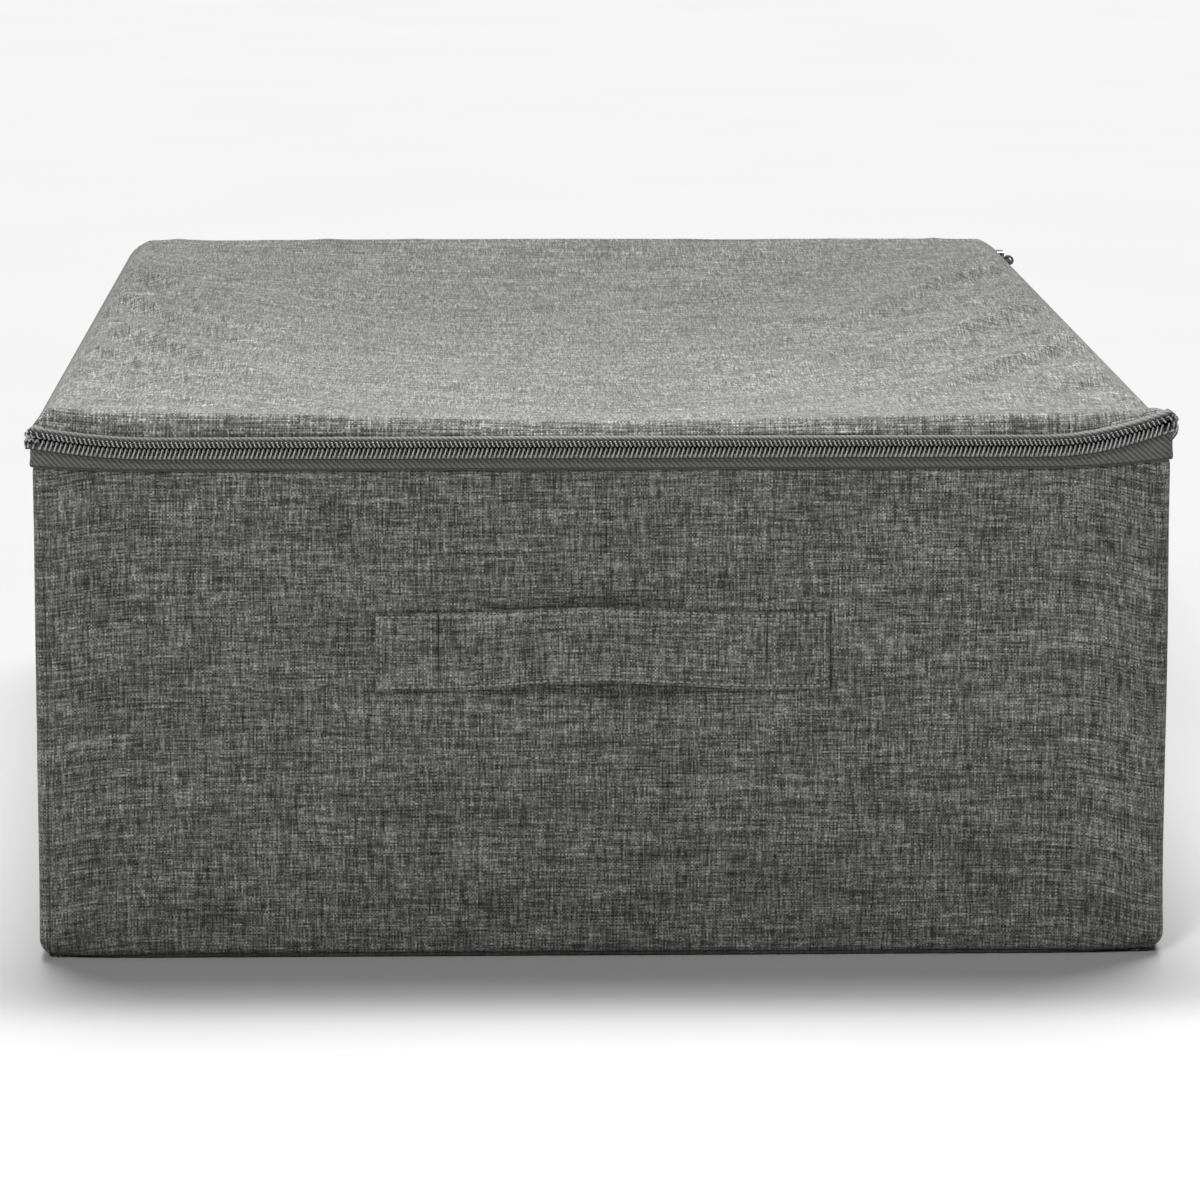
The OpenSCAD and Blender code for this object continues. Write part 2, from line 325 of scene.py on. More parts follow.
class Tree:
    """Short calls for building one material's nodes."""

    def __init__(self, name):
        self.material = bpy.data.materials.new(name)
        self.material.use_nodes = True
        self.nodes = self.material.node_tree.nodes
        self.links = self.material.node_tree.links
        self.shader = self.nodes["Principled BSDF"]

    def add(self, kind, inputs, **settings):
        made = self.nodes.new(kind)
        for key, value in settings.items():
            setattr(made, key, value)
        for key, value in inputs.items():
            self.feed(made.inputs[key], value)
        return made

    def feed(self, socket, value):
        if isinstance(value, bpy.types.NodeSocket):
            self.links.new(value, socket)
        else:
            socket.default_value = value

    def math(self, operation, a, b=0.0):
        return self.add("ShaderNodeMath", {0: a, 1: b}, operation=operation).outputs[0]

    def cloth(self):
        """Coordinates on the flat cloth, in metres."""
        place_on = self.add("ShaderNodeUVMap", {}, uv_map="cloth")
        parts = self.add("ShaderNodeSeparateXYZ", {0: place_on.outputs[0]})
        return parts.outputs[0], parts.outputs[1]

    def noise(self, x, y, z, detail=1.0):
        vector = self.add("ShaderNodeCombineXYZ", {0: x, 1: y, 2: z})
        return self.add("ShaderNodeTexNoise", {"Vector": vector.outputs[0], "Scale": 1.0,
                        "Detail": detail}).outputs["Fac"]

    def solid_noise(self, scale, detail=3.0):
        """Noise in the object's own space, for parts that have no flat pattern."""
        where = self.add("ShaderNodeTexCoord", {}).outputs["Object"]
        return self.add("ShaderNodeTexNoise", {"Vector": where, "Scale": scale,
                        "Detail": detail}).outputs["Fac"]

    def remap(self, value, low, high, to_low, to_high):
        return self.add("ShaderNodeMapRange", {0: value, 1: low, 2: high, 3: to_low,
                        4: to_high}).outputs[0]

    def tint(self, colour, strength):
        """A colour times a varying strength, on the shader's base colour."""
        tone = self.add("ShaderNodeVectorMath", {0: colour, "Scale": strength},
                        operation="SCALE")
        self.feed(self.shader.inputs["Base Color"], tone.outputs[0])

    def bump(self, height, distance, strength):
        made = self.add("ShaderNodeBump", {"Height": height, "Distance": distance,
                        "Strength": strength})
        self.feed(self.shader.inputs["Normal"], made.outputs[0])

    def surface(self, **values):
        for key, value in values.items():
            self.feed(self.shader.inputs[key.replace("_", " ")], value)
        return self.material


def threads(tree, along, across, pitch, run, seed):
    """Tone of threads that lie side by side across, each changing slowly along its length."""
    index = tree.math("FLOOR", tree.math("DIVIDE", across, pitch))
    lane = tree.math("MULTIPLY", index, 7.31)
    return tree.noise(tree.math("DIVIDE", along, run), lane, seed, 2.0)


def slubs(tree, along, across, run, seed):
    """Uneven places in the yarn: long thin marks, from 0 for dark ones to 1 for light ones."""
    value = tree.noise(tree.math("DIVIDE", along, run), tree.math("DIVIDE", across, 0.5 * MM),
                       seed)
    return tree.remap(value, 0.3, 0.7, 0.0, 1.0)


def linen(name, colour, contrast):
    """Plain weave of mottled yarn: light and dark threads both ways, with slubs and cloudiness."""
    tree = Tree(name)
    u, v = tree.cloth()
    pitch = 0.62 * MM
    warp = threads(tree, v, u, pitch, 4.5 * MM, 3.7)
    weft = threads(tree, u, v, pitch, 5.5 * MM, 11.2)
    column_of = tree.math("DIVIDE", u, pitch)
    row_of = tree.math("DIVIDE", v, pitch)
    crossing = tree.add("ShaderNodeCombineXYZ", {0: tree.math("FLOOR", column_of),
                        1: tree.math("FLOOR", row_of)}).outputs[0]
    speck = tree.add("ShaderNodeTexWhiteNoise", {"Vector": crossing},
                     noise_dimensions="2D").outputs["Value"]
    step = tree.math("ADD", tree.math("FLOOR", column_of), tree.math("FLOOR", row_of))
    over = tree.math("PINGPONG", step, 1.0)
    thread = tree.add("ShaderNodeMix", {0: over, 2: weft, 3: warp}).outputs[0]
    marks = tree.math("ADD", slubs(tree, u, v, 14 * MM, 20.5), slubs(tree, v, u, 9 * MM, 31.4))
    bars = tree.noise(tree.math("DIVIDE", u, 55 * MM), tree.math("DIVIDE", v, 2.6 * MM), 8.1, 2.0)
    cloud = tree.noise(tree.math("DIVIDE", u, 34 * MM), tree.math("DIVIDE", v, 9 * MM), 5.5, 3.0)
    tone = tree.remap(thread, 0.32, 0.68, 1 - contrast, 1 + contrast)
    for value, low, high, share in ((marks, 0.3, 1.7, 0.95), (speck, 0.0, 1.0, 0.55),
                                    (cloud, 0.3, 0.7, 0.2), (bars, 0.3, 0.7, 0.16)):
        varied = tree.remap(value, low, high, 1 - share * contrast, 1 + share * contrast)
        tone = tree.math("MULTIPLY", tone, varied)
    tree.tint(colour, tone)
    weft_round = tree.math("SINE", tree.math("MULTIPLY", tree.math("FRACT", row_of), math.pi))
    warp_round = tree.math("SINE", tree.math("MULTIPLY", tree.math("FRACT", column_of), math.pi))
    height = tree.add("ShaderNodeMix", {0: over, 2: weft_round, 3: warp_round}).outputs[0]
    height = tree.math("ADD", height, marks)
    tree.bump(height, 0.16 * MM, 0.75)
    return tree.surface(Roughness=0.92, Sheen_Weight=0.12, Sheen_Roughness=0.5)


def ribbed_tape(name, colour):
    """Woven zip tape: narrow slanting ribs."""
    tree = Tree(name)
    u, v = tree.cloth()
    rib = tree.math("FRACT", tree.math("DIVIDE", tree.math("ADD", u, v), 2.0 * MM))
    rib = tree.math("SINE", tree.math("MULTIPLY", rib, math.pi))
    speck = tree.noise(tree.math("DIVIDE", u, 0.5 * MM), tree.math("DIVIDE", v, 0.5 * MM), 2.1)
    tone = tree.math("MULTIPLY", tree.remap(rib, 0.0, 1.0, 0.35, 1.4),
                     tree.remap(speck, 0.3, 0.7, 0.75, 1.25))
    tree.tint(colour, tone)
    tree.bump(rib, 0.12 * MM, 0.8)
    return tree.surface(Roughness=0.8, Sheen_Weight=0.1, Sheen_Roughness=0.5)


def non_woven(name, colour):
    """Spun lining: matted fibres with small dimples pressed in on a diagonal grid."""
    tree = Tree(name)
    u, v = tree.cloth()
    dimple = [tree.math("SINE", tree.math("DIVIDE", mixed, 0.42 * MM))
              for mixed in (tree.math("ADD", u, v), tree.math("SUBTRACT", u, v))]
    dimple = tree.math("MAXIMUM", tree.math("MULTIPLY", dimple[0], dimple[1]), 0.0)
    fibre = tree.noise(tree.math("DIVIDE", u, 0.7 * MM), tree.math("DIVIDE", v, 3 * MM), 8.8, 4.0)
    tone = tree.math("MULTIPLY", tree.remap(dimple, 0.0, 1.0, 1.06, 0.82),
                     tree.remap(fibre, 0.3, 0.7, 0.88, 1.12))
    tree.tint(colour, tone)
    tree.bump(tree.math("SUBTRACT", fibre, dimple), 0.12 * MM, 0.6)
    return tree.surface(Roughness=0.85)


def spun_thread(name, colour):
    """Sewing thread and coil sewing: a fine even twist. Nearly black, it also paints shade: inside
    the coil, and the shadow under the zip's lower tape.
    """
    tree = Tree(name)
    twist = tree.solid_noise(2600.0, 2.0)
    tree.tint(colour, tree.remap(twist, 0.3, 0.7, 0.7, 1.3))
    tree.bump(twist, 0.05 * MM, 0.5)
    return tree.surface(Roughness=0.6)


def nylon(name, colour):
    """Moulded nylon of the coil and its stops: satin, with faint uneven dye."""
    tree = Tree(name)
    dye = tree.solid_noise(420.0)
    tree.tint(colour, tree.remap(dye, 0.3, 0.7, 0.8, 1.2))
    tree.bump(dye, 0.03 * MM, 0.3)
    return tree.surface(Roughness=0.34, IOR=1.53)


def pressed_board(name, colour):
    """Grey-brown board: matted fibre with darker and lighter flecks."""
    tree = Tree(name)
    fleck = tree.solid_noise(900.0, 5.0)
    cloud = tree.solid_noise(45.0)
    tone = tree.math("MULTIPLY", tree.remap(fleck, 0.3, 0.7, 0.65, 1.3),
                     tree.remap(cloud, 0.3, 0.7, 0.9, 1.1))
    tree.tint(colour, tone)
    tree.bump(fleck, 0.1 * MM, 0.5)
    return tree.surface(Roughness=0.9)


def plated_metal(name, colour):
    """Dark plated zinc: fine casting grain, with duller handled patches."""
    tree = Tree(name)
    grain = tree.solid_noise(1500.0, 4.0)
    patch = tree.solid_noise(180.0, 2.0)
    tree.tint(colour, tree.remap(patch, 0.35, 0.65, 0.75, 1.35))
    tree.bump(grain, 0.02 * MM, 0.35)
    return tree.surface(Metallic=1.0, Roughness=tree.remap(patch, 0.3, 0.7, 0.46, 0.26))


def pale_floor(name):
    """Plain matt floor, faintly uneven."""
    tree = Tree(name)
    tree.tint((0.48, 0.48, 0.48), tree.remap(tree.solid_noise(3.0), 0.3, 0.7, 0.99, 1.01))
    return tree.surface(Roughness=0.9)


FABRIC = linen("mottled_linen", (0.137, 0.138, 0.130), 0.78)
# Painted shade: the welt takes the walls' linen much darker, for the shadow under the walls' lower
# edge.
WELT_PAINTED_SHADE = linen("welt_linen_painted_shade", (0.06, 0.06, 0.058), 0.5)
TAPE = ribbed_tape("zip_tape_weave", (0.1, 0.1, 0.089))
LINING = non_woven("spun_lining", (0.33, 0.33, 0.32))
COIL = nylon("coil_nylon", (0.42, 0.42, 0.42))
THREAD = spun_thread("sewing_thread", (0.34, 0.34, 0.325))
# Painted shadow: a nearly black strand under the lower tape's free edge, for the shadow line on the
# wall.
TAPE_EDGE_SHADOW = spun_thread("tape_edge_painted_shadow", (0.045, 0.045, 0.04))
# Partly painted shade: the coil's core and sewing, nearly black for the dark gaps in the coil and
# the shadow line under its lower row.
COIL_STRANDS_SHADE = spun_thread("coil_strands_painted_shade", (0.018, 0.018, 0.018))
BOARD = pressed_board("pressed_board", (0.25, 0.21, 0.16))
METAL = plated_metal("dark_plating", (0.2, 0.2, 0.21))


# ---------------------------------------------------------------- walls and bottom

def near_corner(s, reach):
    """1 at a corner of the walls, falling to 0 further than reach from all of them."""
    gap = np.min([WALLS.from_corner(s, c) for c in range(4)], axis=0)
    return np.exp(-(gap / reach) ** 2)


def tuck(s):
    """Depth, height and lowest level of the turn at the walls' lower edge."""
    at_corner = near_corner(s, 17 * MM)
    right = np.exp(-(WALLS.from_corner(s, RIGHT_FRONT) / (20 * MM)) ** 2)
    depth = (2.2 + 4.6 * at_corner + 3.2 * right) * MM
    height = (2.2 + 4.2 * at_corner) * MM
    level = 1.7 * MM - 1.0 * MM * near_corner(s, 30 * MM)
    return depth, height, level


def seam_dip(s, seams):
    """How far the cloth is drawn in along the upright seams."""
    gap = np.min([np.abs(s - seam) for seam in seams], axis=0)
    return 0.6 * MM * np.exp(-(gap / (0.8 * MM)) ** 2)


def lower_turn(s):
    """Rows of a wall's cloth from under the wall round its soft lower edge."""
    depth, height, level = tuck(s)
    turn = np.radians(np.linspace(0, 90, 9))[:, None]
    offsets = np.concatenate([(-depth - 2.5 * MM)[None, :], -depth * (1 - np.sin(turn))])
    levels = np.concatenate([level[None, :], level + height * (1 - np.cos(turn))])
    return offsets, levels


def upright(s, top, seed):
    """Rows of a wall's cloth up to its top: uneven, drawn in low at the corners and by the tape."""
    height, level = tuck(s)[1:]
    share = np.concatenate([np.linspace(0, 0.95, 28)[1:], np.linspace(0.955, 1, 13)])[:, None]
    levels = (level + height) * (1 - share) + top * share
    uneven = 0.35 * MM * bumps(s[None, :] + seed, levels, 55 * MM, seed)
    taper = -0.6 * MM * near_corner(s, 40 * MM) * np.exp(-levels / (30 * MM))
    tape_edge = TAPE_LOW - 0.3 * MM + TAPE_FOLLOWS * lift(s)
    under_tape = -0.4 * MM * np.exp(-((levels - tape_edge) / (1.3 * MM)) ** 2)
    offsets = (uneven + taper) * smooth(share * 6) * smooth((1 - share) * 6) + under_tape
    return offsets, levels


def wall_cover(side, start, end, seed):
    """Outer cloth of one wall, from under its lower edge up behind the zip's tape."""
    s = WALLS.stations(start, end, 6 * MM)
    ends = [start + np.linspace(0, 3, 9) * MM, end - np.linspace(0, 3, 9) * MM]
    s = np.unique(np.round(np.concatenate([s] + ends), 6))
    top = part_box("rim_hem")[1].z - 0.3 * MM + RIM_FOLLOWS * lift(s)
    low, high = lower_turn(s), upright(s, top, seed)
    offsets = np.concatenate([low[0], high[0]]) - seam_dip(s, (start, end)) - 0.02 * MM
    levels = np.concatenate([low[1], high[1]])
    piece = thicken(run_grid(f"{side}_cloth", WALLS, s, offsets, levels), 0.6 * MM)
    place(piece, "box", "outer_fabric", FABRIC, f"{side}_wall_cover")


def wall_covers():
    """The side cloths carry the round corners, so the seams lie just inside the ends."""
    reach = CORNER * math.pi / 4 + 0.2 * MM
    corners = list(WALLS.corners) + [WALLS.corners[0] + WALLS.length]
    spans = {
        "left": (corners[0] - reach, corners[1] + reach),
        "front": (corners[1] + reach, corners[2] - reach),
        "right": (corners[2] - reach, corners[3] + reach),
        "rear": (corners[3] + reach, corners[4] - reach),
    }
    for seed, (side, (start, end)) in enumerate(spans.items()):
        wall_cover(side, start, end, seed + 3)


def wall_linings():
    """Inner cloths, a little loose between their seams."""
    inside = Outline(HALF_X - 3.7 * MM, HALF_Y - 3.7 * MM, 1 * MM)
    corners = list(inside.corners) + [inside.corners[0] + inside.length]
    for k, side in enumerate(("left", "front", "right", "rear")):
        s = inside.stations(corners[k], corners[k + 1], 8 * MM)
        levels = np.linspace(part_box("rim_hem")[1].z - 2 * MM, 2 * MM, 26)[:, None]
        loose = 0.12 * MM * bumps(s[None, :], levels, 30 * MM, 40 + k)
        piece = run_grid(f"{side}_inner_cloth", inside, s, loose - 0.1 * MM, levels)
        thicken(piece, 0.4 * MM)
        place(piece, "box", "lining_fabric", LINING, f"{side}_wall_lining")


def flat_cloth(name, half_x, half_y, level, thickness, seed):
    """Nearly flat cloth under the box's floor, faintly uneven."""
    x = np.linspace(-half_x, half_x, 60)[None, :]
    y = np.linspace(-half_y, half_y, 100)[:, None]
    x, y = np.broadcast_arrays(x, y)
    uneven = 0.12 * MM * np.abs(bumps(x, y, 45 * MM, seed))
    piece = grid(name, np.stack([x, y, level - uneven], -1), np.stack([x, y], -1))
    thicken(piece, thickness)
    return piece


def bottom():
    half_x, half_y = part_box("bottom_cover")[1].xy
    cover = flat_cloth("bottom_cloth", half_x, half_y, 0.8 * MM, 0.5 * MM, 51)
    place(cover, "box", "outer_fabric", FABRIC, "bottom_cover")
    lining = flat_cloth("bottom_inner_cloth", half_x, half_y, 1.4 * MM, 0.4 * MM, 52)
    place(lining, "box", "lining_fabric", LINING, "bottom_lining")


def welt():
    """Bound seam round the underside: a strip folded round the raw edges, its cloth painted darker
    than the walls' as painted shade under their lower edge.
    """
    s = WALLS.stations(0, WALLS.length, 8 * MM)[::-1]
    depth = tuck(s)[0]
    shift = -(depth - 2.2 * MM)
    turn = np.linspace(0, math.pi, 11)[:, None]
    offsets = -3.4 * MM + 1.9 * MM * np.cos(turn) + shift
    levels = 0.95 * MM - 0.9 * MM * np.sin(turn) + 0.8 * MM * (np.cos(turn) ** 4)
    levels = levels + 0.35 * MM * near_corner(s, 20 * MM)
    piece = thicken(run_grid("welt_binding", WALLS, s, offsets, levels), 0.3 * MM)
    place(piece, "box", "outer_fabric", WELT_PAINTED_SHADE, "bottom_welt")


def rim_hem():
    """Binding over the walls' top edges, from behind the zip's tape to inside the box."""
    s = WALLS.stations(0, WALLS.length, 8 * MM)
    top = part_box("rim_hem")[1].z
    offsets = column(-0.1, -0.1, -0.6, -2.3, -4.0, -4.5, -4.6, -4.5)
    levels = top + column(-2.4, -0.7, -0.1, 0.1, -0.1, -0.8, -6.0, -12.6) + RIM_FOLLOWS * lift(s)
    pucker = 0.12 * MM * bumps(s[None, :], levels, 6 * MM, 60)
    piece = thicken(run_grid("rim_binding", WALLS, s, offsets + pucker, levels), 0.5 * MM)
    place(piece, "box", "lining_fabric", LINING, "rim_hem")


# ---------------------------------------------------------------- zip

def lower_tape():
    """Tape on the walls, and a dark strand along its free edge that paints the shadow under the
    tape.
    """
    s = WALLS.stations(ZIP_START_S, ZIP_END_S, 8 * MM)
    share = np.linspace(0, 1, 9)[:, None]
    follows = TAPE_FOLLOWS + (1 - TAPE_FOLLOWS) * share
    levels = TAPE_LOW + (TAPE_TOP - TAPE_LOW) * share + lift(s) * follows
    offsets = 0.75 * MM + 0.3 * MM * (1 - smooth(share * 3))
    tape = thicken(run_grid("lower_tape", WALLS, s, offsets, levels), 0.55 * MM)
    place(tape, "box", "zip_tape", TAPE, "zip_lower_tape")

    # Painted shadow along the tape's lower edge.
    fine = WALLS.stations(ZIP_START_S, ZIP_END_S, 3 * MM)
    x, y = WALLS.at(fine, 0.4 * MM)
    path = np.stack([x, y, TAPE_LOW - 0.35 * MM + TAPE_FOLLOWS * lift(fine)], -1)
    place(tube("lower_tape_painted_shadow", path, 0.55 * MM, 8), "box", "zip_tape", TAPE_EDGE_SHADOW)


def upper_tape():
    """Tape at the lid's edge, turned in at its top to meet the lid's cloth."""
    s = WALLS.stations(ZIP_START_S, ZIP_END_S, 8 * MM)
    levels = ZIP_LEVEL + column(1.2, 2.4, 3.2, 3.6, 4.3, 5.2) + lift(s)
    offsets = column(0.5, 0.7, 1.5, 1.8, 1.0, -0.4)
    tape = thicken(run_grid("upper_tape", WALLS, s, offsets, levels), 0.45 * MM)
    place(tape, "lid", "zip_tape", TAPE, "zip_upper_tape")


def row_span(node):
    """Where a coil row starts and ends along the outline."""
    points = np.array([v.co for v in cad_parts[node].data.vertices])
    left = points[:, 0] < 0
    start = WALLS.corners[0] + (HALF_Y - points[left, 1].max())
    end = WALLS.corners[3] - (HALF_Y - points[~left, 1].max())
    return start, end


def coil_row(name, node, levels, slant, shift):
    """One row of coil: nylon strand wound round and round between two levels. Slant is 1 where
    the front strokes rise to the right and -1 where they fall; the sewing draws the row in."""
    start, end = row_span(node)
    low, high, sewn_at = levels
    turns = int((end - start) / COIL_PITCH)
    angle = np.arange(turns * COIL_STEPS) * 2 * np.pi / COIL_STEPS
    middle, half = (low + high) / 2, (high - low) / 2 - COIL_WIRE
    rise = -slant * half * np.cos(angle)
    depth = np.sign(np.sin(angle)) * np.abs(np.sin(angle)) ** 0.6
    s = start + shift + COIL_PITCH * angle / (2 * np.pi) + 0.12 * slant * rise
    sewn = np.exp(-((middle + rise - sewn_at) / (0.34 * MM)) ** 2) * (depth > 0)
    offset = 1.85 * MM + 0.72 * MM * depth - 0.5 * MM * sewn
    x, y = WALLS.at(s, offset)
    path = np.stack([x, y, ZIP_LEVEL + middle + rise + lift(s)], -1)
    return tube(name, path, COIL_WIRE, 5)


def run_tube(name, node, offset, level, wave, radius):
    """Strand that runs along a coil row, in and out by wave once in every turn of the coil."""
    start, end = row_span(node)
    s = np.arange(start, end, COIL_PITCH / 4)
    x, y = WALLS.at(s, offset + wave * np.cos(2 * np.pi * (s - start) / COIL_PITCH))
    return tube(name, np.stack([x, y, ZIP_LEVEL + level + lift(s)], -1), radius, 6)


def zip_coils():
    """Both rows of coil, each with its core and its sewing. The lower row is the taller one. Core
    and sewing are nearly black: real strands, painted dark as the shade in the coil's gaps and as a
    painted shadow line under the lower row.
    """
    rows = (
        ("lower_coil", "zip_lower_coil", (-3.05 * MM, 1.0 * MM, -2.9 * MM), 1, 0.0, "box"),
        ("upper_coil", "zip_upper_coil", (1.05 * MM, 3.3 * MM, 2.75 * MM), -1,
         0.5 * COIL_PITCH, "lid"),
    )
    for name, node, levels, slant, shift, body in rows:
        place(coil_row(name, node, levels, slant, shift), body, "zip_coil", COIL, node)
        core_level = (levels[0] + levels[1]) / 2
        # Core and sewing in nearly black: partly their own colour, partly painted shade in the
        # coil's gaps and under the lower row.
        core = run_tube(f"{name}_core", node, 1.45 * MM, core_level, 0.0, 0.62 * MM)
        place(core, body, "zip_coil", COIL_STRANDS_SHADE)
        sewing = run_tube(f"{name}_sewing", node, 2.3 * MM, levels[2], 0.12 * MM, 0.17 * MM)
        place(sewing, body, "zip_coil", COIL_STRANDS_SHADE)


def hinge_cloth():
    """Rear strip that joins the box to the lid along the fold."""
    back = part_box("hinge_strip")[0].y
    reach = HALF_X - CORNER + CORNER * math.pi / 2 + (HALF_Y - CORNER - back)
    s = WALLS.stations(WALLS.length - reach, WALLS.length + reach, 8 * MM)
    rises = column(-7.0, -4.0, -2.0, -1.2, -0.7, -0.35, 0, 0.35, 0.7, 1.2, 2.0, 3.4, 5.2)
    offsets = column(0.6, 0.8, 0.95, 0.8, 0.65, 0.55, 0.5, 0.55, 0.65, 0.8, 0.9, 0.7, -0.3)
    ripple = 0.1 * MM * bumps(s[None, :], rises, 9 * MM, 70)
    piece = run_grid("hinge_cloth", WALLS, s, offsets + ripple, ZIP_LEVEL + rises)
    thicken(piece, 0.5 * MM)
    piece.data.materials.append(FABRIC)
    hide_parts("hinge_strip", "lid_rear_band")
    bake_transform(piece)


# ---------------------------------------------------------------- lid

def spread_lines(half, count):
    """Grid lines from -half to half, closer together towards both ends."""
    t = np.linspace(-1, 1, count)
    inward = 1 - np.abs(t)
    return half * np.sign(t) * (1 - inward * (0.35 + 0.65 * inward))


def round_corners(x, y, half_x, half_y, radius):
    """Moves the corner squares of a rectangular grid onto quarter discs."""
    p = np.clip((np.abs(x) - (half_x - radius)) / radius, 0, 1)
    q = np.clip((np.abs(y) - (half_y - radius)) / radius, 0, 1)
    px = p * np.sqrt(1 - q ** 2 / 2)
    qy = q * np.sqrt(1 - p ** 2 / 2)
    x = np.where(p > 0, np.sign(x) * (half_x - radius + radius * px), x)
    y = np.where(q > 0, np.sign(y) * (half_y - radius + radius * qy), y)
    inset = np.where((p > 0) & (q > 0), radius * (1 - np.hypot(px, qy)),
                     np.minimum(half_x - np.abs(x), half_y - np.abs(y)))
    return x, y, inset


def crest_level(x, y):
    """Level of the lid's rim crest: highest at the left front corner, lowest along the rear."""
    along = (y + HALF_Y) / (2 * HALF_Y)
    dip = CREST_DIP * np.exp(-(x / (85 * MM)) ** 2) * (1 - smooth(along * 3))
    corner = np.where(x < 0, CREST_LEFT, CREST_RIGHT)
    corner = corner * (np.abs(x) / HALF_X) ** 3 * (1 - smooth(along * 6))
    return CREST_LEVEL - CREST_FALL * along - dip + corner


def crease(x, y, start, end, height, width):
    """One soft ridge across the lid, steeper towards the front, widening and fading inwards."""
    run_x, run_y = (end[0] - start[0]) * MM, (end[1] - start[1]) * MM
    length = math.hypot(run_x, run_y)
    from_x, from_y = x - start[0] * MM, y - start[1] * MM
    along = (from_x * run_x + from_y * run_y) / length ** 2
    across = math.copysign(1, run_x) * (from_x * run_y - from_y * run_x) / length
    across = across + 6 * MM * np.sin(math.pi * np.clip(along, 0, 1))
    spread = width * MM * (0.6 + 0.6 * np.clip(along, 0, 1)) * np.where(across > 0, 0.8, 1.2)
    fade = smooth(along * 6 + 0.1) * (1 - smooth((along - 0.3) / 0.8))
    return height * MM * fade * np.exp(-(across / spread) ** 2)


def ridges(lane, across, size, seed, sharpness):
    """Folded noise: ridges 1 high about size apart, with flat ground between them."""
    return (1 - np.abs(bumps(lane, across, size, seed))) ** sharpness


def lid_folds(x, y, inset):
    """Creases that run from the long edges forward and inward, and puckers along the rim."""
    from_side = HALF_X - np.abs(x)
    side = np.where(x < 0, 0.0, OTHER_SIDE)
    lane = y + 1.35 * from_side + 12 * MM * bumps(x, y, 90 * MM, 80)
    fine = ridges(lane, from_side * 0.22 + side, 24 * MM, 81, 5) - 0.2
    broad = ridges(lane, from_side * 0.15 + side, 70 * MM, 82, 6) - 0.15
    start = smooth(from_side / (16 * MM))
    calm = (1 - 0.75 * smooth((y - 140 * MM) / (160 * MM)))
    calm = calm * smooth((y + HALF_Y - 8 * MM) / (50 * MM))
    folds = 1.6 * MM * fine * start * np.exp(-(from_side / (85 * MM)) ** 2)
    folds = folds + 2.5 * MM * broad * start * np.exp(-(from_side / (180 * MM)) ** 2)
    folds = folds + sum(crease(x, y, *shape) for shape in LID_CREASES)
    pucker = bumps(y, from_side * 0.3 + side, 8 * MM, 83) * np.exp(-from_side / (22 * MM))
    near_end = np.exp(-(HALF_Y - np.abs(y)) / (10 * MM))
    pucker = 1.1 * MM * pucker * smooth(inset / (5 * MM)) * (1 - near_end)
    slack = (0.5 * bumps(x, y, 60 * MM, 84) + 0.7 * bumps(0.3 * x, y, 25 * MM, 85)) * MM
    return (folds + pucker) * calm + slack * (1 - 0.8 * near_end)


def lid_level(x, y, inset):
    """Level of the lid's top: up a soft slope from its edge, over the crest and into the dish."""
    from_ends = smooth((HALF_Y - np.abs(y)) / (25 * MM))
    up = np.clip(inset / (CREST_INSET + (SIDE_INSET - CREST_INSET) * from_ends), 0, 1)
    edge_lift = lid_edge_lift(x, y)
    crest = crest_level(x, y)
    rim = LID_EDGE + edge_lift * (1 - 0.55 * up) + (crest - LID_EDGE) * (1 - (1 - up) ** 1.35)
    across = np.clip(np.abs(x) / (HALF_X - CREST_INSET), 0, 1)
    forward = y + LOWEST_FORWARD
    reach = HALF_Y - CREST_INSET + np.sign(forward) * LOWEST_FORWARD
    deep = np.clip(np.abs(forward) / reach, 0, 1)
    hollow = (1 - across ** 2.1) * (1 - deep ** 2.6)
    inner = smooth((inset - 0.7 * CREST_INSET) / (9 * MM))
    return rim - LID_SAG * hollow * inner + lid_folds(x, y, inset) * smooth(inset / (4 * MM))


def lid_edge_lift(x, y):
    """Rise of the lid's edge above its level elsewhere, towards the two front corners."""
    from_front = np.abs(-HALF_Y - y)
    return (lift_near(LEFT_LIFT, np.abs(-HALF_X - x) + from_front)
            + lift_near(RIGHT_LIFT, np.abs(HALF_X - x) + from_front))


def lid_cloth():
    half_x, half_y = HALF_X + 0.4 * MM, HALF_Y + 0.4 * MM
    x = spread_lines(half_x, 170)[None, :]
    y = spread_lines(half_y, 270)[:, None]
    flat_x, flat_y = np.broadcast_arrays(x, y)
    px, py, inset = round_corners(flat_x, flat_y, half_x, half_y, 6 * MM)
    level = lid_level(px, py, inset)
    uv = np.stack([flat_x, flat_y], -1)
    piece = thicken(grid("lid_cloth", np.stack([px, py, level], -1), uv), 0.8 * MM)
    place(piece, "lid", "lid_fabric", FABRIC, "lid_panel")

    inner = inset > 5 * MM
    rows, columns = inner.any(axis=1), inner.any(axis=0)
    cut = np.ix_(rows, columns)
    under = np.stack([px[cut], py[cut], level[cut] - 1.5 * MM], -1)
    lining = thicken(grid("lid_inner_cloth", under, uv[cut]), 0.4 * MM)
    place(lining, "lid", "lining_fabric", LINING, "lid_lining")


# ---------------------------------------------------------------- handle

def strap_half(bow):
    """Half of the strap's width, a little narrower where it bows out."""
    return STRAP_HALF_WIDE - 0.4 * MM * bow


def strap_bow(x):
    """How far the loose strap stands off: 0 at its sewn ends, 1 in the middle."""
    share = np.clip(np.abs(x) / (HANDLE_LOOSE - 0.2 * MM), 0, 1)
    return (1 + np.cos(np.pi * share)) / 2


def strap_crease(x, height, bow):
    """Upright folds in the loose strap, in and out along its length."""
    return bumps(x, height * 0.2, 11 * MM, 91) * (0.15 + 1.3 * bow) * MM


